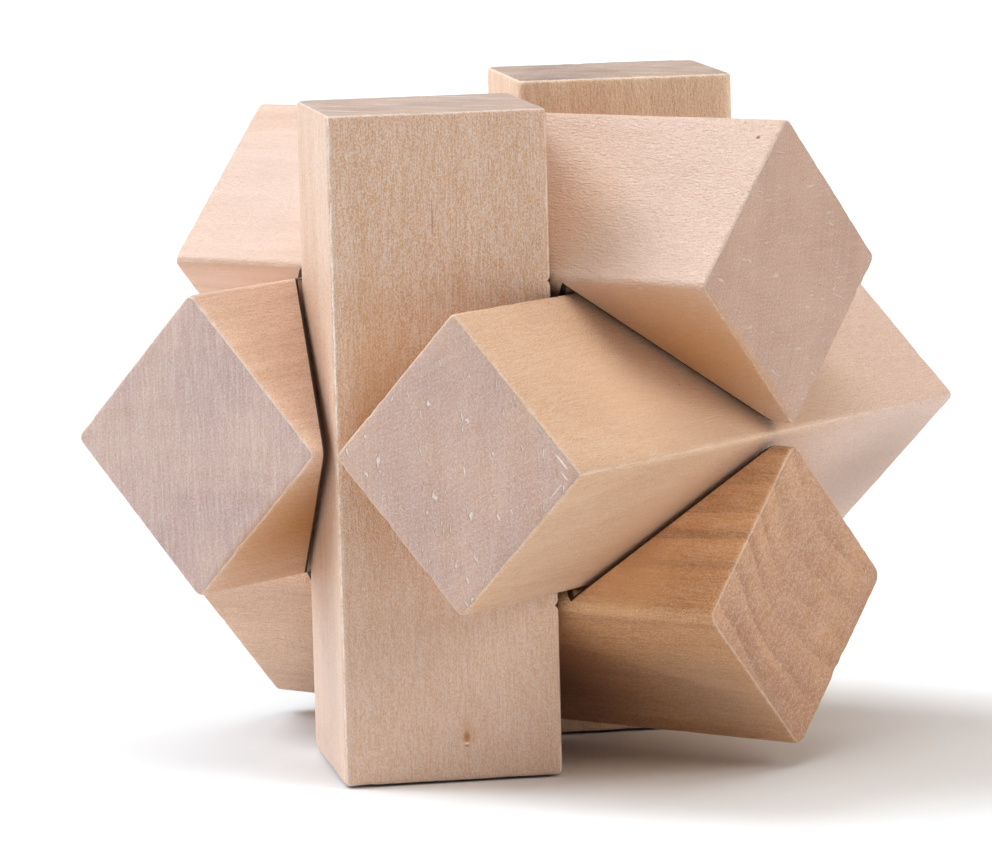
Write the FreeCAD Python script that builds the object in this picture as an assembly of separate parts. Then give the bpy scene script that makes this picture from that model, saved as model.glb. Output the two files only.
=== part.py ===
"""Six-piece diagonal burr: three pairs of square wooden bars that cross at right angles.

Every bar is turned 45 degrees about its own length, so its corner arrises point outwards and inwards.
Each bar has two V notches cut into the arris that faces the centre, and each notch is the seat of a bar
of the next pair.  Cross bars run along X, through bars along Y and uprights along Z.

Frame: millimetres, +Z up, origin on the table, midway between the two uprights that the burr stands on.
"""

import FreeCAD, Part
import math
import os
from collections import namedtuple

# Driving dimensions
BAR_LENGTH = 61.0       # of five bars, so also the burr's size each way
AXIS_SPACING = 29.7     # between the axes of the two bars of a pair
NOTCH_CLEARANCE = 0.3   # between a notch's faces and the bar seated in it
END_ROUND = 0.4         # sanded radius round both end faces

X = FreeCAD.Vector(1, 0, 0)
Y = FreeCAD.Vector(0, 1, 0)
Z = FreeCAD.Vector(0, 0, 1)
CENTRE = Z * (BAR_LENGTH / 2)

# A pair of bars: the way they run, the way they lie apart, and the pair that is seated in their notches
Pair = namedtuple("Pair", "run apart seats")
PAIRS = {
    "cross": Pair(X, Z, "through"),
    "through": Pair(Y, X, "upright"),
    "upright": Pair(Z, Y, "cross"),
}

# One bar: its side of the centre, the side of its square section, the radius that sanding left on its four
# long arrises, how many degrees it has turned about the vertical within the play of its notches, and how much
# longer than the others it was sawn, at its far or upper end
Bar = namedtuple("Bar", "name pair side_of_centre width arris_round settled overlong")
BARS = [
    Bar("upper_cross_bar", "cross", +1, 20.0, 0.8, 0.0, 0.0),
    Bar("lower_cross_bar", "cross", -1, 20.1, 1.2, 0.0, 0.0),
    Bar("right_through_bar", "through", +1, 19.4, 0.6, 0.0, 0.0),
    Bar("left_through_bar", "through", -1, 20.1, 0.8, -0.4, 0.0),
    Bar("rear_upright_bar", "upright", +1, 20.3, 0.9, 0.0, 1.0),
    Bar("front_upright_bar", "upright", -1, 20.1, 0.6, 1.0, 0.0),
]


def axis_point(bar):
    """The middle of a bar's axis."""
    return CENTRE + PAIRS[bar.pair].apart * (bar.side_of_centre * AXIS_SPACING / 2)


def square_prism(width, length):
    """A square prism along X, centred on the origin."""
    return Part.makeBox(length, width, width, FreeCAD.Vector(-length / 2, -width / 2, -width / 2))


def set_in_place(prism, bar):
    """Turns a prism that lies along X a corner upwards, then lays it where the bar lies."""
    prism.rotate(FreeCAD.Vector(), X, 45)
    place = FreeCAD.Placement(axis_point(bar), FreeCAD.Rotation(X, PAIRS[bar.pair].run))
    prism.Placement = place.multiply(prism.Placement)
    return prism


def round_edges(prism, radius, wanted):
    """Rounds the edges that the function wanted says yes to."""
    return prism.makeFillet(radius, [edge for edge in prism.Edges if wanted(edge)])


def plain_bar(bar):
    """One bar before its notches are cut, with its arrises and ends rounded."""
    length = BAR_LENGTH + bar.overlong
    blank = square_prism(bar.width, length)
    blank = round_edges(blank, bar.arris_round, lambda edge: math.isclose(edge.Length, length))
    blank = round_edges(blank, END_ROUND, lambda edge: math.isclose(abs(edge.CenterOfMass.x), length / 2))
    blank.translate(X * (bar.overlong / 2))
    return set_in_place(blank, bar)


def seat_cutter(seated):
    """What is cut away for one seated bar: its full section, wider by the clearance on each face."""
    return set_in_place(square_prism(seated.width + 2 * NOTCH_CLEARANCE, 2 * BAR_LENGTH), seated)


def notched_bar(bar):
    """A finished bar, as it has settled: two V notches side by side, each seating one bar of the next pair."""
    shape = plain_bar(bar)
    for seated in BARS:
        if seated.pair == PAIRS[bar.pair].seats:
            shape = shape.cut(seat_cutter(seated))
    shape.rotate(axis_point(bar), Z, bar.settled)
    return shape


def main():
    os.makedirs("parts", exist_ok=True)
    for bar in BARS:
        shape = notched_bar(bar)
        print(f"{bar.name}: {len(shape.Solids)} solid, {shape.Volume / 1000:.2f} cm3, valid {shape.isValid()}")
        shape.Solids[0].exportStep(f"parts/{bar.name}.step")


main()
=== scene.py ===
"""Looks of the six-piece diagonal burr: six sanded, unvarnished wooden bars on a pale floor.

Every bar is a mesh of its own, lofted along the bar in the bar's own frame and laid where the CAD bar lies.
A bar's own frame: z runs along the grain, x and y are square to its faces, and the corner where x and y are
both positive is the outer arris.  The inner arris, opposite, carries the two V notches.
"""

import math
from collections import namedtuple

import bpy
import numpy as np
from mathutils import Matrix, Vector


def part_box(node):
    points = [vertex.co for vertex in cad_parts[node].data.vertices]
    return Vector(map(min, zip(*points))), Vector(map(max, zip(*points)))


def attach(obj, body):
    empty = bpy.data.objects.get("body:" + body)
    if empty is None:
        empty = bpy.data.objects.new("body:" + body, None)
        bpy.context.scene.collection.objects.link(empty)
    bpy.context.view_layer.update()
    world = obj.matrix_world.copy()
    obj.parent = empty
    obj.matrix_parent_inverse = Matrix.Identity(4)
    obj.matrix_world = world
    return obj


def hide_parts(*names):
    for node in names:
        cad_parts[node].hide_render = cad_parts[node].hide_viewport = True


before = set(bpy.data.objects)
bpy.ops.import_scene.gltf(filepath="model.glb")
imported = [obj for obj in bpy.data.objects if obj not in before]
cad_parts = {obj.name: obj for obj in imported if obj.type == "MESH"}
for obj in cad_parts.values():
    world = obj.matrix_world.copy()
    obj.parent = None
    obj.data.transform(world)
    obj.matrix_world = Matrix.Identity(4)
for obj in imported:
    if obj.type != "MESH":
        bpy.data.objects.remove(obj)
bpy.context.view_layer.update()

MM = 0.001
X, Y, Z = Vector((1, 0, 0)), Vector((0, 1, 0)), Vector((0, 0, 1))

# What the CAD model is made with, in millimetres and degrees
NOTCH_CLEARANCE = 0.3
END_ROUND = 0.4

Pair = namedtuple("Pair", "run apart seats")
PAIRS = {
    "cross": Pair(X, Z, "through"),
    "through": Pair(Y, X, "upright"),
    "upright": Pair(Z, Y, "cross"),
}

# Fineness of the mesh
SIDE_STEPS = 60          # quads across one face of a bar
ARC_STEPS = 8            # quads round one arris
CAP_STEPS = 48           # quads across a notch, or round the inner arris between the notches
END_ARC_STEPS = 6        # quads round the edge of an end face
END_RINGS = 22           # rings of quads from that edge to the middle of the end face
LENGTH_STEP = 0.45       # mm between sections along a bar
FINE_STEP = 0.10         # mm between sections beside an end and where a notch starts
NOTCH_START = 1.0        # mm along the bar over which a notch starts
LIP_EASE = 0.25          # mm broken off the edges of a notch
END_RING_POWER = 0.8     # 1 spaces the rings of an end face evenly, and less crowds them towards its middle
SHARP = 28               # degrees between faces from which an edge shows as sharp

# Wear that sanding and handling left, in mm: how deep it is, and how near an edge it lies
FACE_WEAR = 0.010
ARRIS_WEAR = 0.015
ARRIS_REACH = 0.7
END_EDGE_WEAR = 0.02
END_EDGE_REACH = 0.5
UNEVEN_WEAR = 0.035      # more of it in places along an edge
FINE_WEAR = 0.05         # and more at single fibres of an end's edge

# Over how many mm each kind of wear varies, and how far its noise is shifted from the others'
FACE_PATCHES = 9.0
UNEVEN_PATCHES = (2.5, 2.5, 3.5)
UNEVEN_SHIFT = 7.3
FINE_PATCHES = 0.45
FINE_SHIFT = 3.1

# Small dents: how many a bar has, the range of their sizes, and the range of their depths, in mm
Dents = namedtuple("Dents", "count sizes depths")
ARRIS_DENTS = Dents(8, (0.3, 0.8), (0.03, 0.09))
END_DENTS = Dents(24, (0.2, 0.6), (0.03, 0.12))


# One bar.  side: its side of the centre.  arris_round and settled: as in the CAD model.  seed: its wear.
Bar = namedtuple("Bar", "body pair side arris_round settled seed")
BARS = [
    Bar("upper_cross", "cross", +1, 0.8, 0.0, 11),
    Bar("lower_cross", "cross", -1, 1.2, 0.0, 12),
    Bar("right_through", "through", +1, 0.6, 0.0, 13),
    Bar("left_through", "through", -1, 0.8, -0.4, 14),
    Bar("rear_upright", "upright", +1, 0.9, 0.0, 15),
    Bar("front_upright", "upright", -1, 0.6, 1.0, 16),
]


def node_of(bar):
    return bar.body + "_bar"


def box_middle(bar):
    low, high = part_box(node_of(bar))
    return (low + high) / 2


def bar_width(bar):
    """The side of a bar's square section, from its extent across the corners, in millimetres."""
    low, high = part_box(node_of(bar))
    across = (high - low).x if bar.pair == "upright" else (high - low).z
    return (across / MM + 2 * (math.sqrt(2) - 1) * bar.arris_round) / math.sqrt(2)


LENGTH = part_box("front_upright_bar")[1].z / MM
CENTRE = Z * (LENGTH * MM / 2)
SPACING = (box_middle(BARS[0]) - box_middle(BARS[1])).z / MM


def far_end(bar):
    """Where a bar ends on its far or upper side, in millimetres from the middle between its notches."""
    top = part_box(node_of(bar))[1].z / MM
    return top - LENGTH / 2 if bar.pair == "upright" else LENGTH / 2


def bar_frame(bar):
    """The matrix from a bar's own frame to the row frame."""
    pair = PAIRS[bar.pair]
    outward = pair.apart * bar.side
    sideways = pair.run.cross(outward)
    x = (outward - sideways).normalized()
    y = (outward + sideways).normalized()
    turn = Matrix((x, y, pair.run)).transposed().to_4x4()
    settle = Matrix.Rotation(math.radians(bar.settled), 4, "Z")
    place = Matrix.Translation(CENTRE + outward * (SPACING / 2 * MM))
    return place @ settle @ turn


# --- the mesh of a bar -------------------------------------------------------------------------------------


class Section:
    """A square section with rounded arrises, cut level on its inner side.

    a is measured outwards from the bar's axis and v across it, both along the diagonals.
    """

    def __init__(self, width, arris_round):
        self.half = width / math.sqrt(2)
        self.round = arris_round
        self.tangent = arris_round / math.sqrt(2)
        self.arc_centre = self.half - arris_round * math.sqrt(2)

    def half_width(self, a):
        """How far the section reaches across at a."""
        a = np.abs(a)
        flank = self.half - a
        arc = self.arc_centre + np.sqrt(np.maximum(self.round ** 2 - a ** 2, 0))
        top = np.sqrt(np.maximum(self.round ** 2 - (a - self.arc_centre) ** 2, 0))
        return np.where(a < self.tangent, arc, np.where(a > self.half - self.tangent, top, flank))

    def ring(self, cut):
        """The section's outline as (a, v) points, once round, cut level at a = cut on the inner side."""
        lip = max(cut, self.tangent - self.half)
        lip_width = float(self.half_width(lip))
        bend = min(self.tangent, abs(lip) / 2)
        ease = min(LIP_EASE, lip_width / 2, (abs(lip) - bend) / 3)
        side = np.linspace(0, 1, SIDE_STEPS + 1)
        quarter = np.linspace(math.pi / 4, 0, ARC_STEPS // 2, endpoint=False)
        outer_arc = np.linspace(0, math.pi / 4, ARC_STEPS // 2, endpoint=False)
        top_a = self.arc_centre + self.round * np.cos(outer_arc)
        top_v = self.round * np.sin(outer_arc)
        flank_a = (self.half - self.tangent) + side * (2 * self.tangent - self.half)
        upper_a = self.round * np.sin(quarter[1:])
        lower_a = -bend * np.linspace(0, 1, ARC_STEPS // 2, endpoint=False)
        side_a = -bend + side * (lip + ease + bend)
        right_a = np.concatenate([flank_a, upper_a, lower_a, side_a])
        right_v = self.half_width(right_a)
        reach = lip_width - ease
        cap_v = np.linspace(reach, -reach, CAP_STEPS + 1)
        edge = self.inner_edge(cap_v)
        meeting = np.maximum(1 - np.abs(edge - cut) / (2 * LIP_EASE), 0)
        cap_a = np.maximum(cut, edge) + LIP_EASE / 2 * meeting ** 2
        a = np.concatenate([top_a, right_a, cap_a, right_a[::-1], top_a[:0:-1]])
        v = np.concatenate([top_v, right_v, cap_v, -right_v[::-1], -top_v[:0:-1]])
        return a, v

    def inner_edge(self, v):
        """The lowest a of the section at v."""
        v = np.abs(v)
        arc = -self.arc_centre - np.sqrt(np.maximum(self.round ** 2 - v ** 2, 0))
        return np.where(v < self.tangent, arc, v - self.half)


def seat_halves(bar):
    """Half the diagonal of the notch at each end of a bar, as {sign along the bar: millimetres}."""
    seated = [other for other in BARS if other.pair == PAIRS[bar.pair].seats]
    return {other.side: bar_width(other) / math.sqrt(2) + NOTCH_CLEARANCE * math.sqrt(2) for other in seated}


def notch_floor(z, halves):
    """How deep the notches reach at z, as the a below which nothing is left."""
    floors = [half - SPACING / 2 - abs(z - sign * SPACING / 2) for sign, half in halves.items()]
    return max(floors)


def section_places(section, halves, end):
    """Where a bar's sections lie along it: one in the middle of each notch, and many where one starts."""
    stops = [END_ROUND - LENGTH / 2, end - END_ROUND]
    for sign, half in halves.items():
        reach = section.arc_centre + section.round + half - SPACING / 2
        outer, inner = reach + NOTCH_START / 2, reach - NOTCH_START / 2
        stops += [sign * SPACING / 2 + offset for offset in (-outer, -inner, 0.0, inner, outer)]
    stops.sort()
    places = []
    for low, high in zip(stops, stops[1:]):
        step = FINE_STEP if high - low < 2 * NOTCH_START else LENGTH_STEP
        count = math.ceil((high - low) / step)
        places += list(np.linspace(low, high, count, endpoint=False))
    return places + [stops[-1]]


def bar_rings(bar):
    """A bar's sections from end to end, as an array of rings of points in the bar's own frame, in mm."""
    width = bar_width(bar)
    section = Section(width, bar.arris_round)
    halves = seat_halves(bar)
    end = far_end(bar)
    stations = [(z, 0.0) for z in section_places(section, halves, end)]
    bend = [(END_ROUND * (1 - math.sin(t)), END_ROUND * (1 - math.cos(t)))
            for t in np.linspace(0, math.pi / 2, END_ARC_STEPS + 1)[1:]]
    far = [(end - back, inset) for back, inset in bend]
    near = [(back - LENGTH / 2, inset) for back, inset in reversed(bend)]
    rings = []
    for z, inset in near + stations + far:
        outline = Section(width - 2 * inset, bar.arris_round - inset)
        a, v = outline.ring(notch_floor(z, halves))
        x = (a - v) / math.sqrt(2)
        y = (a + v) / math.sqrt(2)
        rings.append(np.stack([x, y, np.full_like(x, z)], axis=1))
    shares = 1 - np.linspace(0, 1, END_RINGS + 1)[1:-1] ** END_RING_POWER
    lid = [rings[-1] * (share, share, 1) for share in shares]
    foot = [rings[0] * (share, share, 1) for share in shares]
    return np.array(foot[::-1] + rings + lid)


def ring_mesh(rings):
    """The points and quads of a closed skin over the rings, with a fan in the middle of each end."""
    count, size, _ = rings.shape
    points = rings.reshape(-1, 3)
    here = np.arange(size)
    beside = np.roll(here, -1)
    quads = []
    for row in range(count - 1):
        low, high = row * size, (row + 1) * size
        quads.append(np.stack([low + here, low + beside, high + beside, high + here], axis=1))
    ends = np.array([rings[0].mean(axis=0), rings[-1].mean(axis=0)])
    last = (count - 1) * size
    fans = np.concatenate([
        np.stack([beside, here, np.full(size, len(points))], axis=1),
        np.stack([last + here, last + beside, np.full(size, len(points) + 1)], axis=1),
    ])
    return np.concatenate([points, ends]), np.concatenate(quads), fans


def build_mesh(name, points, quads, fans):
    """A Blender mesh from arrays, in metres, smooth but with sharp notch edges."""
    mesh = bpy.data.meshes.new(name)
    loops = np.concatenate([quads.ravel(), fans.ravel()])
    starts = np.concatenate([np.arange(len(quads)) * 4, len(quads) * 4 + np.arange(len(fans)) * 3])
    mesh.vertices.add(len(points))
    mesh.vertices.foreach_set("co", (points * MM).astype(np.float32).ravel())
    mesh.loops.add(len(loops))
    mesh.loops.foreach_set("vertex_index", loops.astype(np.int32))
    mesh.polygons.add(len(starts))
    mesh.polygons.foreach_set("loop_start", starts.astype(np.int32))
    mesh.update(calc_edges=True)
    mesh.validate()
    mesh.shade_smooth()
    mesh.set_sharp_from_angle(angle=math.radians(SHARP))
    return mesh


def vertex_normals(points, quads, fans):
    """Outward unit normals of the points, from the faces around them."""
    corners = points[quads]
    across = np.cross(corners[:, 2] - corners[:, 0], corners[:, 3] - corners[:, 1])
    fan_corners = points[fans]
    fan_across = np.cross(fan_corners[:, 1] - fan_corners[:, 0], fan_corners[:, 2] - fan_corners[:, 0])
    normals = np.zeros_like(points)
    for column in range(4):
        np.add.at(normals, quads[:, column], across)
    for column in range(3):
        np.add.at(normals, fans[:, column], fan_across)
    return normals / np.maximum(np.linalg.norm(normals, axis=1, keepdims=True), 1e-12)


class Noise:
    """Smooth seeded noise in three dimensions, from -1 to 1."""

    SIZE = 32

    def __init__(self, seed):
        self.grid = np.random.default_rng(seed).uniform(-1, 1, (self.SIZE,) * 3)

    def at(self, points):
        cell = np.floor(points).astype(int)
        t = points - cell
        t = t * t * (3 - 2 * t)
        total = np.zeros(len(points))
        for corner in np.ndindex(2, 2, 2):
            index = (cell + corner) % self.SIZE
            share = np.prod(np.where(corner, t, 1 - t), axis=1)
            total += share * self.grid[index[:, 0], index[:, 1], index[:, 2]]
        return total


def wear_depth(bar, points, width):
    """How far sanding and handling have taken the surface back at each point, in mm."""
    noise = Noise(bar.seed)
    chance = np.random.default_rng(bar.seed + 100)
    x, y, z = np.abs(points[:, 0]), np.abs(points[:, 1]), points[:, 2]
    to_arris = width / 2 - np.minimum(x, y)
    to_side = width / 2 - np.maximum(x, y)
    to_end = np.minimum(far_end(bar) - z, z + LENGTH / 2)
    near_arris = np.exp(-(to_arris / ARRIS_REACH) ** 2)
    near_end_edge = np.exp(-(to_end / END_EDGE_REACH) ** 2 - (to_side / END_EDGE_REACH) ** 2)
    uneven = UNEVEN_WEAR * np.maximum(noise.at(points / UNEVEN_PATCHES + UNEVEN_SHIFT), 0)
    fine = FINE_WEAR * np.maximum(noise.at(points / FINE_PATCHES + FINE_SHIFT), 0)
    depth = FACE_WEAR * (noise.at(points / FACE_PATCHES) + 1)
    depth += near_arris * (ARRIS_WEAR + uneven)
    depth += near_end_edge * (END_EDGE_WEAR + uneven + fine)
    for place, size, deep in edge_dents(chance, width, far_end(bar)):
        distance = np.linalg.norm(points - place, axis=1) / size
        depth += deep * np.exp(-distance ** 2)
    return depth


def edge_dents(chance, width, end):
    """Random small dents on the arrises and round the end faces, as (place, size, depth) in mm."""
    half = width / 2
    dents = []
    for _ in range(ARRIS_DENTS.count):
        corner = chance.choice([-half, half], 2)
        along = chance.uniform(-LENGTH / 2, end)
        place = np.array([*corner, along])
        dents.append((place, chance.uniform(*ARRIS_DENTS.sizes), chance.uniform(*ARRIS_DENTS.depths)))
    for _ in range(END_DENTS.count):
        edge = [chance.choice([-half, half]), chance.uniform(-half, half)]
        if chance.random() < 0.5:
            edge.reverse()
        along = chance.choice([-LENGTH / 2, end])
        place = np.array([*edge, along])
        dents.append((place, chance.uniform(*END_DENTS.sizes), chance.uniform(*END_DENTS.depths)))
    return dents


def make_bar(bar):
    """Makes one bar, in place and riding on its body."""
    width = bar_width(bar)
    points, quads, fans = ring_mesh(bar_rings(bar))
    normals = vertex_normals(points, quads, fans)
    points = points - normals * wear_depth(bar, points, width)[:, None]
    mesh = build_mesh(bar.body + "_wooden_bar", points, quads, fans)
    obj = bpy.data.objects.new(bar.body + "_wooden_bar", mesh)
    bpy.context.scene.collection.objects.link(obj)
    obj.matrix_world = bar_frame(bar)
    mesh.materials.append(Wood(bar, width).material)
    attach(obj, bar.body)
    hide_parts(node_of(bar))


# --- the wood ----------------------------------------------------------------------------------------------

# One bar's timber.  light, dark: its side grain.  streak: its darkest bands.  end: its end grain.
# pith: where the tree's middle lay, in mm across the bar.  lean: how far the grain leans, in radians.
# ring: mm between growth rings.  shift: where in the noise the bar was cut.
# The rest say, from 0 to 1, how strongly each shows: rings, bands, fleck (fine two-tone speckle), ripple
# (relief that the sander left), polish (how pale the arrises are painted, for rubbed wear and
# a painted highlight along them), then on the end grain bruises, sanding and smears, then calm (how far
# fleck and ripple fade towards the near end) and pale_near, pale_far (how far the surface is painted paler
# towards either end).
Timber = namedtuple(
    "Timber",
    "light dark streak end pith lean ring shift rings bands fleck ripple polish bruises sanding smears"
    " calm pale_near pale_far",
    defaults=(0.0, 0.0, 0.0))
TIMBERS = {
    "upper_cross": Timber(
        light=(0.79, 0.555, 0.44), dark=(0.71, 0.48, 0.355), streak=(0.50, 0.27, 0.14),
        end=(0.54, 0.33, 0.245), pith=(34, 16), lean=(0.02, -0.03), ring=2.6, shift=3.0,
        rings=0.25, bands=0.5, fleck=0.35, ripple=1.0, polish=0.5,
        bruises=0.5, sanding=0.3, smears=0.1, calm=0.7, pale_far=0.6),
    "lower_cross": Timber(
        light=(0.84, 0.48, 0.235), dark=(0.69, 0.36, 0.15), streak=(0.32, 0.12, 0.045),
        end=(0.58, 0.31, 0.175), pith=(-27, 0), lean=(0.05, 0.04), ring=3.3, shift=11.0,
        rings=1.0, bands=0.7, fleck=0.40, ripple=0.4, polish=0.65,
        bruises=0.1, sanding=0.2, smears=0.1, pale_near=0.45),
    "right_through": Timber(
        light=(0.81, 0.54, 0.36), dark=(0.76, 0.49, 0.31), streak=(0.54, 0.28, 0.13),
        end=(0.52, 0.34, 0.29), pith=(-40, -18), lean=(0.22, -0.16), ring=5.2, shift=23.0,
        rings=0.5, bands=0.2, fleck=0.50, ripple=0.45, polish=0.36,
        # pale_far here is painted light: the rear half of this bar is painted paler to lift the shade that
        # upper_cross casts on it
        bruises=1.0, sanding=0.3, smears=0.1, pale_far=1.0),
    "left_through": Timber(
        light=(0.92, 0.66, 0.50), dark=(0.82, 0.555, 0.39), streak=(0.48, 0.25, 0.12),
        end=(0.52, 0.35, 0.33), pith=(60, -70), lean=(0.03, 0.03), ring=2.2, shift=31.0,
        rings=0.3, bands=0.3, fleck=0.50, ripple=0.4, polish=0.7,
        bruises=0.1, sanding=0.8, smears=0.1),
    "rear_upright": Timber(
        light=(0.98, 0.73, 0.52), dark=(0.90, 0.62, 0.42), streak=(0.52, 0.28, 0.13),
        end=(0.24, 0.16, 0.145), pith=(28, 40), lean=(0.04, 0.0), ring=2.4, shift=43.0,
        rings=0.5, bands=0.4, fleck=0.50, ripple=0.5, polish=0.7,
        bruises=0.1, sanding=0.4, smears=0.7),
    "front_upright": Timber(
        light=(0.83, 0.59, 0.455), dark=(0.74, 0.495, 0.35), streak=(0.62, 0.32, 0.13),
        end=(0.38, 0.29, 0.26), pith=(45, -60), lean=(0.01, -0.015), ring=1.8, shift=57.0,
        rings=0.25, bands=0.3, fleck=0.85, ripple=0.7, polish=0.9,
        bruises=0.1, sanding=0.4, smears=0.9, calm=0.3, pale_near=0.5),
}
PALED = (0.84, 0.61, 0.50)
PALE_FIBRE = (0.84, 0.72, 0.66)
# pale of rubbed wear; on the arrises and end edges it is also a painted highlight
WEAR_AND_HIGHLIGHT = (0.98, 0.88, 0.80)
BROWN = (0.22, 0.09, 0.04)
# painted shade: near black, for the shadow in the gaps between the bars
GAP_SHADE = (0.035, 0.015, 0.008)
GOLDEN = (0.62, 0.32, 0.115)

# Marks in the wood, and patches of painted light and shade.  place, and reach each way: mm, in the bar's own
# frame.  strength, soft: from 0 to 1.
Mark = namedtuple("Mark", "place reach colour strength soft")
MARKS = {
    "upper_cross": [
        Mark((0.0, 10.0, -24.0), (13.0, 3.0, 16.0), (0.62, 0.44, 0.355), 0.6, 1.0),
        # painted shade with warm bounce light, on the right part of the lower-front face above right_through
        Mark((-10.0, 0.0, 24.0), (1.0, 19.0, 21.0), (0.70, 0.355, 0.135), 0.85, 1.0),
        # painted warm reflected light in the shade beside front_upright, on the upper-front face
        Mark((-5.0, 10.0, 11.0), (13.0, 1.5, 10.0), (0.82, 0.55, 0.35), 0.45, 1.0),
        Mark((7.4, 10.0, 28.4), (0.20, 1.0, 0.28), BROWN, 0.85, 0.5),  # speck by the end
        Mark((-4.2, 10.0, 13.0), (0.08, 1.0, 0.10), BROWN, 0.7, 0.5),
    ],
    "lower_cross": [
        Mark((11.0, 1.5, 1.0), (8.0, 10.5, 27.0), (0.19, 0.058, 0.026), 0.9, 1.0),  # painted shade: the lower faces painted dark brown
        # painted light on the upper-front face beside front_upright, lifting the shade there
        Mark((7.0, -10.0, 20.0), (8.0, 2.0, 7.5), (0.96, 0.61, 0.33), 0.55, 1.0),
        # paler brown towards the end, where the painted shade on the lower faces eases
        Mark((10.0, 2.0, 26.0), (3.0, 12.0, 11.0), (0.46, 0.31, 0.24), 0.4, 1.0),
        Mark((-1.0, -10.0, 20.0), (16.0, 3.0, 3.0), (0.40, 0.17, 0.07), 0.3, 1.0),
    ],
    "right_through": [
        Mark((8.9, 7.4, -30.5), (0.12, 1.2, 0.5), WEAR_AND_HIGHLIGHT, 0.7, 0.5),  # scratches at a corner
        Mark((8.2, 8.5, -30.5), (0.10, 0.7, 0.5), WEAR_AND_HIGHLIGHT, 0.6, 0.5),
        Mark((6.6, 8.8, -30.5), (1.1, 0.08, 0.5), WEAR_AND_HIGHLIGHT, 0.5, 0.5),
        # painted shade on the rear part of the lower-right face
        Mark((0.0, 10.0, 25.0), (12.0, 3.0, 14.0), (0.54, 0.36, 0.27), 0.75, 1.0),
        # painted light on the upper-right face, lifting the shade under upper_cross
        Mark((9.7, 4.0, -5.0), (2.0, 14.0, 26.0), (0.91, 0.635, 0.45), 0.75, 1.0),
        Mark((0.0, 9.7, -9.0), (12.0, 2.0, 10.0), (0.96, 0.69, 0.48), 0.5, 1.0),
        Mark((9.7, 2.5, -8.0), (1.0, 0.10, 0.12), BROWN, 0.7, 0.5),
        Mark((9.7, -3.0, -14.5), (1.0, 0.08, 0.10), BROWN, 0.6, 0.5),
    ],
    "left_through": [
        # painted shade: the front of the lower-right face painted darker and more orange
        Mark((0.0, -10.0, -20.0), (13.0, 1.0, 26.0), (0.53, 0.235, 0.055), 0.9, 1.0),
    ],
    "front_upright": [
        Mark((6.0, 10.0, 4.0), (5.0, 2.0, 17.0), GOLDEN, 0.40, 1.0),
        Mark((-1.3, 10.0, -26.0), (1.0, 1.0, 2.0), (0.66, 0.36, 0.16), 0.5, 1.0),  # knot
        Mark((-1.2, 10.0, -26.5), (0.45, 1.0, 0.75), (0.50, 0.20, 0.06), 0.85, 0.8),
        Mark((-1.2, 10.0, -27.05), (0.36, 1.0, 0.14), (1.0, 0.82, 0.68), 0.8, 0.7),
        Mark((-1.2, 10.0, -27.3), (0.40, 1.0, 0.12), (0.46, 0.18, 0.05), 0.8, 0.8),
        Mark((0.68, 10.0, 21.0), (0.07, 1.0, 2.2), (0.34, 0.18, 0.10), 0.55, 0.4),  # hairline
    ],
}

# The noises in the wood.  scale: how many times a mm each changes along x, y and z, after a turn about z by
# turn, in radians.  detail, rough, twist: the noise's own settings.
Pattern = namedtuple("Pattern", "scale detail rough twist turn", defaults=(2.0, 0.5, 0.0, 0.0))
BROAD = Pattern((0.16, 0.16, 0.012), 3.0, 0.55)
STREAKS = Pattern((1.6, 1.6, 0.05), 3.0, 0.6)
BANDS = Pattern((0.42, 0.42, 0.02))
PATCHES = Pattern((0.09, 0.09, 0.03))
FIBRES = Pattern((9.0, 9.0, 0.50), 2.0, 0.6)
SPECKS = Pattern((10.5, 10.5, 5.5), 1.0, 0.6)
WAVES = Pattern((4.6, 4.6, 1.4), 2.0, 0.6)
PORES = Pattern((6.0, 6.0, 0.7), 1.0)
RAYS = Pattern((0.16, 3.2, 0.0), 3.0)
SANDING = Pattern((0.25, 4.5, 0.2), 3.0, 0.7, turn=0.8)
GRAINS = Pattern((5.5, 5.5, 0.2), 2.0, 0.7)
BRUISES = Pattern((0.6, 1.7, 0.1), 2.0, 0.5, 0.6, turn=0.9)
CLOUDS = Pattern((0.12, 0.12, 0.05), 3.0)
SMEARS = Pattern((0.12, 0.85, 0.2), 4.0, 0.7, 0.3, turn=0.7)
FRAYING = Pattern((1.2, 1.2, 0.5), 4.0, 0.7)
WAVER_SCALE = (0.07, 0.07, 0.018)    # in the same measure, how the grain wavers
WAVER = 5.0                          # mm, how far it does

# From 0 to 1, how squarely a surface faces along the bar as it turns to end grain and to a notch's face
END_GRAIN = (0.72, 0.95)
NOTCH_FACE = (0.55, 0.68)
INNER_SIDE = (-0.6, -0.8)         # x and y of its normal added, as it turns towards the inner side
CLEAR_OF_END = (0.6, 0.9)         # mm from an end, nearer than which nothing is taken for a notch

SHADED_LIP = (0.50, 0.42)       # mm out from a notch's floor, where its lip of painted shade starts and is full
# how much darker the notch faces are painted, as painted shade in the gaps
NOTCH_SHADE = 0.5
WEAR_AND_HIGHLIGHT_REACH = (0.24, 0.40)         # mm from an arris or an end, the least and the most that the pale band of wear and painted highlight reaches
BUMP_HEIGHT = 0.09                # mm
SIDE_ROUGHNESS = (0.48, 0.38)     # in broad patches
END_ROUGHNESS = 0.62


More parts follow.
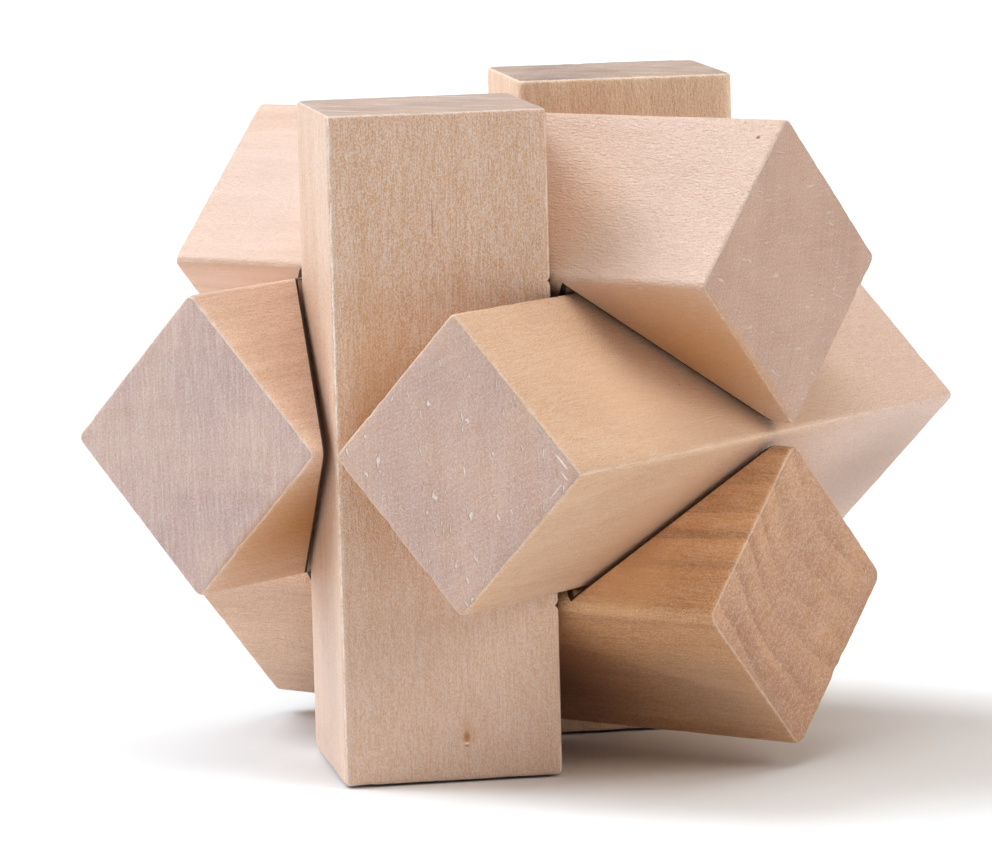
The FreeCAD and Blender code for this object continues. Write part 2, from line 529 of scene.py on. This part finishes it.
class Nodes:
    """Short ways to add nodes to a material."""

    def __init__(self, material):
        material.use_nodes = True
        self.tree = material.node_tree
        self.tree.nodes.clear()

    def add(self, kind, inputs=(), **settings):
        node = self.tree.nodes.new(kind)
        for name, value in settings.items():
            setattr(node, name, value)
        for name, value in dict(inputs).items():
            self.feed(node.inputs[name], value)
        return node

    def feed(self, socket, value):
        if isinstance(value, bpy.types.NodeSocket):
            self.tree.links.new(value, socket)
        else:
            socket.default_value = value

    def math(self, operation, *values):
        return self.add("ShaderNodeMath", dict(enumerate(values)), operation=operation).outputs[0]

    def plus(self, first, second):
        return self.math("ADD", first, second)

    def minus(self, first, second):
        return self.math("SUBTRACT", first, second)

    def times(self, first, second):
        return self.math("MULTIPLY", first, second)

    def over(self, first, second):
        return self.math("DIVIDE", first, second)

    def absolute(self, value):
        return self.math("ABSOLUTE", value)

    def vector(self, operation, *values):
        return self.add("ShaderNodeVectorMath", dict(enumerate(values)), operation=operation).outputs[0]

    def length(self, vector):
        return self.add("ShaderNodeVectorMath", {0: vector}, operation="LENGTH").outputs["Value"]

    def map(self, vector, scale=(1, 1, 1), turn=(0, 0, 0), shift=(0, 0, 0)):
        inputs = {"Vector": vector, "Scale": scale, "Rotation": turn, "Location": shift}
        return self.add("ShaderNodeMapping", inputs).outputs[0]

    def noise(self, vector, pattern, shift):
        """Noise from 0 to 1."""
        if pattern.turn:
            vector = self.map(vector, turn=(0, 0, pattern.turn))
        inputs = {"Vector": self.map(vector, scale=pattern.scale, shift=shift), "Scale": 1.0,
                  "Detail": pattern.detail, "Roughness": pattern.rough, "Distortion": pattern.twist}
        return self.add("ShaderNodeTexNoise", inputs).outputs["Fac"]

    def step(self, value, start, end, low=0.0, high=1.0):
        """A smooth step from low to high as value goes from start to end."""
        if start > end:
            start, end, low, high = end, start, high, low
        inputs = {"Value": value, "From Min": start, "From Max": end, "To Min": low, "To Max": high}
        return self.add("ShaderNodeMapRange", inputs, interpolation_type="SMOOTHSTEP").outputs["Result"]

    def patch(self, at, mark):
        """A soft spot: the mark's strength at its place, and none beyond its reach."""
        offset = self.vector("DIVIDE", self.vector("SUBTRACT", at, mark.place), mark.reach)
        return self.step(self.length(offset), 1.0, 1.0 - mark.soft, 0.0, mark.strength)

    def mix(self, share, first, second):
        """Two colours mixed by share."""
        node = self.add("ShaderNodeMix", data_type="RGBA")
        self.feed(node.inputs[0], share)
        for socket, value in ((node.inputs[6], first), (node.inputs[7], second)):
            self.feed(socket, value if isinstance(value, bpy.types.NodeSocket) else (*value, 1.0))
        return node.outputs[2]

    def blend(self, share, first, second):
        """Two numbers mixed by share."""
        return self.add("ShaderNodeMix", {0: share, 2: first, 3: second}, data_type="FLOAT").outputs[0]

    def finish(self, shader):
        self.add("ShaderNodeOutputMaterial", {"Surface": shader.outputs[0]})


class Wood(Nodes):
    """The sanded wood of one bar: a solid texture in the bar's own frame, so that grain runs through it."""

    def __init__(self, bar, width):
        self.material = bpy.data.materials.new(bar.body + "_wood")
        super().__init__(self.material)
        self.bar = bar
        self.width = width
        self.timber = TIMBERS[bar.body]
        shift = self.timber.shift
        self.shift = (shift, shift * 0.7, shift * 1.3)
        place = self.add("ShaderNodeTexCoord")
        self.at = self.map(place.outputs["Object"], scale=(1 / MM,) * 3)
        self.x, self.y, self.z = self.add("ShaderNodeSeparateXYZ", {0: self.at}).outputs
        self.normal = self.add("ShaderNodeSeparateXYZ", {0: place.outputs["Normal"]}).outputs
        self.steepness = self.absolute(self.normal[2])
        self.end_grain = self.step(self.steepness, *END_GRAIN)
        far, near = self.minus(far_end(bar), self.z), self.plus(self.z, LENGTH / 2)
        self.to_end = self.math("MINIMUM", far, near)
        self.grow()

        colour = self.mix(self.end_grain, self.side_colour(), self.end_colour())
        for mark in MARKS.get(bar.body, ()):
            colour = self.mix(self.patch(self.at, mark), colour, mark.colour)
        # paler arrises and end edges: rubbed wear, with a painted highlight along them
        colour = self.mix(self.wear(), colour, WEAR_AND_HIGHLIGHT)
        # painted shade in the notches and on the lips round them
        colour = self.shade_notches(colour)
        inputs = {"Base Color": colour, "Roughness": self.roughness(), "Normal": self.bump()}
        shader = self.add("ShaderNodeBsdfPrincipled", inputs)
        shader.inputs["Specular IOR Level"].default_value = 0.5
        self.finish(shader)

    def here(self, pattern, vector=None, shift=None):
        """A noise where this bar was cut, in the bar's own frame unless another vector is given."""
        return self.noise(vector or self.at, pattern, shift or self.shift)

    def grow(self):
        """Sets the bar's grain and latewood, and the noises that several of its looks share."""
        timber = self.timber
        inputs = {"Vector": self.map(self.at, WAVER_SCALE, shift=self.shift), "Scale": 1.0, "Detail": 1.5}
        waver = self.add("ShaderNodeTexNoise", inputs).outputs["Color"]
        waver = self.vector("MULTIPLY", self.vector("SUBTRACT", waver, (0.5, 0.5, 0.5)), (WAVER, WAVER, 0.0))
        self.bent = self.vector("ADD", self.at, waver)
        to_pith = (-timber.pith[0], -timber.pith[1], 0.0)
        self.trunk = self.map(self.bent, turn=(*timber.lean, 0.0), shift=to_pith)
        radius = self.length(self.vector("MULTIPLY", self.trunk, (1.0, 1.0, 0.0)))
        years = self.over(radius, timber.ring)
        inputs = {"W": years, "Scale": 0.7, "Detail": 2.0}
        uneven = self.add("ShaderNodeTexNoise", inputs, noise_dimensions="1D").outputs["Fac"]
        season = self.math("FRACT", self.plus(years, self.times(uneven, 0.9)))
        # latewood darkens slowly through each year, ends sharply, and is faint in patches
        late = self.times(self.step(season, 0.25, 0.95), self.step(season, 1.0, 0.955))
        self.late = self.times(late, self.step(self.here(PATCHES), 0.35, 0.62, 0.25, 1.0))

        self.broad = self.here(BROAD, self.bent)
        self.fibres = self.here(FIBRES)
        self.specks = self.here(SPECKS)
        self.sanded = self.here(SANDING)
        self.grains = self.here(GRAINS)
        self.bruises = self.step(self.here(BRUISES), 0.64, 0.69)
        self.lively = self.step(self.z, -LENGTH * 0.25, 0.0, 1.0 - timber.calm, 1.0)

    def layers(self, colour, table, fade=None):
        """The colour under layers of (noise, where it starts, where it is full, strength, tint)."""
        for value, start, full, strength, tint in table:
            share = self.step(value, start, full, 0.0, strength)
            if fade:
                share = self.times(share, fade)
            colour = self.mix(share, colour, tint)
        return colour

    def side_colour(self):
        """Side grain: bands and rings, paler towards an end, under fibres, pores and speckle."""
        timber = self.timber
        streaks = self.here(STREAKS, self.bent)
        tone = self.plus(self.times(self.broad, 0.6), self.times(streaks, 0.4))
        colour = self.mix(self.step(tone, 0.38, 0.62), timber.dark, timber.light)
        bands = self.here(BANDS, self.bent, (3.0, 8.0, timber.shift))
        colour = self.mix(self.step(bands, 0.52, 0.76, 0.0, 0.5 * timber.bands), colour, timber.streak)
        colour = self.mix(self.times(self.late, 0.34 * timber.rings), colour, timber.streak)
        # paler towards either end; on right_through the paling towards the far end is painted light, lifting
        # the shade under upper_cross
        near = self.step(self.z, -LENGTH * 0.05, -LENGTH * 0.42, 0.0, timber.pale_near)
        far = self.step(self.z, -LENGTH * 0.08, LENGTH * 0.35, 0.0, timber.pale_far)
        colour = self.mix(self.math("MAXIMUM", near, far), colour, PALED)
        pores = self.step(self.here(PORES, shift=(5.0, 1.0, timber.shift)), 0.66, 0.76)
        fleck = self.times(self.lively, timber.fleck)
        return self.layers(colour, [
            (self.specks, 0.50, 0.58, 0.60, timber.streak),
            (self.specks, 0.50, 0.42, 0.60, PALE_FIBRE),
            (self.fibres, 0.52, 0.64, 0.36, timber.streak),
            (self.fibres, 0.48, 0.36, 0.42, PALE_FIBRE),
            (pores, 0.0, 1.0, 0.50, timber.streak),
        ], fade=fleck)

    def end_colour(self):
        """End grain: duller, with rings, faint rays, sanding marks, smears, fine pores and pale bruises."""
        timber = self.timber
        rays = self.here(RAYS._replace(turn=-math.atan2(timber.pith[1], timber.pith[0])), self.trunk)
        smears = self.here(SMEARS)
        colour = self.mix(self.step(self.here(CLOUDS), 0.3, 0.7, 0.0, 0.3), timber.end, timber.light)
        colour = self.mix(self.times(self.late, 0.46 * timber.rings), colour, timber.streak)
        colour = self.layers(colour, [
            (rays, 0.35, 0.75, 0.12, PALE_FIBRE),
            (self.sanded, 0.40, 0.70, 0.40 * timber.sanding, PALE_FIBRE),
            (smears, 0.50, 0.66, 0.45 * timber.smears, PALE_FIBRE),
            (smears, 0.50, 0.34, 0.55 * timber.smears, timber.streak),
            (self.grains, 0.50, 0.62, 0.22, timber.streak),
            (self.grains, 0.50, 0.38, 0.28, PALE_FIBRE),
        ])
        return self.mix(self.times(self.bruises, 0.5 * timber.bruises), colour, WEAR_AND_HIGHLIGHT)

    def wear(self):
        """How far the arrises and end edges are painted pale: rubbed wear, and a painted highlight along
        them.
        """
        polish = self.timber.polish
        inset = self.math("MINIMUM", self.absolute(self.x), self.absolute(self.y))
        to_arris = self.minus(self.width / 2, inset)
        reach = self.step(self.here(FRAYING), 0.3, 0.7, *WEAR_AND_HIGHLIGHT_REACH)
        on_arris = self.step(self.over(to_arris, reach), 1.0, 0.4, 0.0, polish)
        on_rim = self.step(self.over(self.to_end, reach), 0.8, 0.2, 0.0, 0.7 * polish)
        return self.math("MAXIMUM", on_arris, self.times(on_rim, self.minus(1.0, self.end_grain)))

    def shade_notches(self, colour):
        """The colour with painted shade for the gaps between bars: darker notch faces, and a near-black lip
        round them.
        """
        inner = self.step(self.plus(self.normal[0], self.normal[1]), *INNER_SIDE)
        inner = self.times(inner, self.step(self.to_end, *CLEAR_OF_END))
        in_notch = self.times(inner, self.step(self.steepness, *NOTCH_FACE))
        floors = []
        for sign, half in seat_halves(self.bar).items():
            beside = self.absolute(self.minus(self.z, sign * SPACING / 2))
            floors.append(self.minus(half - SPACING / 2, beside))
        outward = self.over(self.plus(self.x, self.y), math.sqrt(2))
        above_floor = self.minus(outward, self.math("MAXIMUM", *floors))
        on_lip = self.times(self.step(above_floor, *SHADED_LIP), self.minus(1.0, in_notch))
        colour = self.mix(on_lip, colour, GAP_SHADE)
        return self.mix(self.times(in_notch, NOTCH_SHADE), colour, self.timber.dark)

    def bump(self):
        """The relief of fibres, speckle and ripple, and on the end grain of sanding, pores and bruises."""
        timber = self.timber
        ripple = self.times(self.lively, timber.ripple)
        relief = self.times(self.plus(self.times(self.here(WAVES), 2.6), self.specks), ripple)
        relief = self.plus(relief, self.times(self.specks, 0.3))
        relief = self.plus(relief, self.times(self.fibres, 0.25))
        end_relief = self.plus(self.times(self.sanded, timber.sanding), self.grains)
        end_relief = self.minus(end_relief, self.times(self.bruises, 1.2 * timber.bruises))
        inputs = {"Height": self.blend(self.end_grain, relief, end_relief),
                  "Distance": BUMP_HEIGHT * MM, "Strength": 1.0}
        return self.add("ShaderNodeBump", inputs).outputs[0]

    def roughness(self):
        """Side grain a little glossier than end grain, in broad patches."""
        return self.blend(self.end_grain, self.step(self.broad, 0.3, 0.7, *SIDE_ROUGHNESS), END_ROUGHNESS)


# --- the studio --------------------------------------------------------------------------------------------

FLOOR_SIZE = 6.0
FLOOR_DROP = 0.2 * MM    # how far the floor lies under the feet
FLOOR_PAINT = (0.86, 0.86, 0.86)
FLOOR_ROUGHNESS = 0.8
WORLD_STRENGTH = 0.2

# Broad, even lights.  azimuth: 0 is in front and 90 to the right.  softness: how wide the light looks from
# the burr.  All in degrees.
Light = namedtuple("Light", "name azimuth elevation softness strength colour")
LIGHTS = [
    Light("key", -75, 50, 30, 2.3, (0.81, 0.91, 1.0)),
    Light("low_left", -58, 12, 35, 1.0, (0.87, 0.94, 1.0)),
    Light("right", 100, 35, 40, 1.0, (1.0, 0.97, 0.92)),
    Light("top", 0, 88, 50, 1.3, (1.0, 0.98, 0.95)),
]

# The camera: angles in degrees, places in metres, lens and sensor in mm
CAMERA_AZIMUTH = 36.6
CAMERA_ELEVATION = 7.49
CAMERA_ROLL = -1.51
CAMERA_DISTANCE = 0.560
CAMERA_RIGHT = -2.65 * MM    # how far right of the line to the burr's centre it stands
CAMERA_UP = -1.53 * MM       # and how far above that line
CAMERA_LENS = 216.4
CAMERA_SENSOR = 36.0
CAMERA_CLIP = (0.01, 20.0)

VIEW_GAMMA = 0.92
VIEW_EXPOSURE = 0.08


def direction(azimuth, elevation):
    """The unit vector towards a viewer, azimuth 0 being in front and 90 to the right, both in degrees."""
    around, up = math.radians(azimuth), math.radians(elevation)
    return Vector((math.sin(around) * math.cos(up), -math.cos(around) * math.cos(up), math.sin(up)))


def make_floor():
    """A wide pale floor, just under the feet."""
    bpy.ops.mesh.primitive_plane_add(size=FLOOR_SIZE, location=(0, 0, -FLOOR_DROP))
    floor = bpy.context.object
    floor.name = "floor"
    paint = bpy.data.materials.new("floor_paint")
    nodes = Nodes(paint)
    inputs = {"Base Color": (*FLOOR_PAINT, 1.0), "Roughness": FLOOR_ROUGHNESS}
    nodes.finish(nodes.add("ShaderNodeBsdfPrincipled", inputs))
    floor.data.materials.append(paint)


def make_world():
    world = bpy.data.worlds.new("studio")
    bpy.context.scene.world = world
    world.use_nodes = True
    background = world.node_tree.nodes["Background"]
    background.inputs["Color"].default_value = (1.0, 1.0, 1.0, 1.0)
    background.inputs["Strength"].default_value = WORLD_STRENGTH


def make_light(light):
    sun = bpy.data.lights.new(light.name, "SUN")
    sun.angle = math.radians(light.softness)
    sun.energy = light.strength
    sun.color = light.colour
    lamp = bpy.data.objects.new(light.name, sun)
    lamp.rotation_euler = direction(light.azimuth, light.elevation).to_track_quat("Z", "Y").to_euler()
    bpy.context.scene.collection.objects.link(lamp)


def make_camera():
    """A camera that looks a little past the burr's centre, and is rolled."""
    camera = bpy.data.cameras.new("camera")
    camera.lens = CAMERA_LENS
    camera.sensor_width = CAMERA_SENSOR
    camera.clip_start, camera.clip_end = CAMERA_CLIP
    back = direction(CAMERA_AZIMUTH, CAMERA_ELEVATION)
    right = (-back).cross(Z).normalized()
    up = right.cross(-back)
    place = CENTRE + back * CAMERA_DISTANCE + right * CAMERA_RIGHT + up * CAMERA_UP
    roll = math.radians(CAMERA_ROLL)
    rolled_right = right * math.cos(roll) + up * math.sin(roll)
    rolled_up = up * math.cos(roll) - right * math.sin(roll)
    turn = Matrix((rolled_right, rolled_up, back)).transposed().to_4x4()
    obj = bpy.data.objects.new("camera", camera)
    obj.matrix_world = Matrix.Translation(place) @ turn
    bpy.context.scene.collection.objects.link(obj)
    bpy.context.scene.camera = obj


for one_bar in BARS:
    make_bar(one_bar)
make_floor()
make_world()
for one_light in LIGHTS:
    make_light(one_light)
make_camera()
view = bpy.context.scene.view_settings
view.view_transform = "Standard"
view.gamma = VIEW_GAMMA
view.exposure = VIEW_EXPOSURE
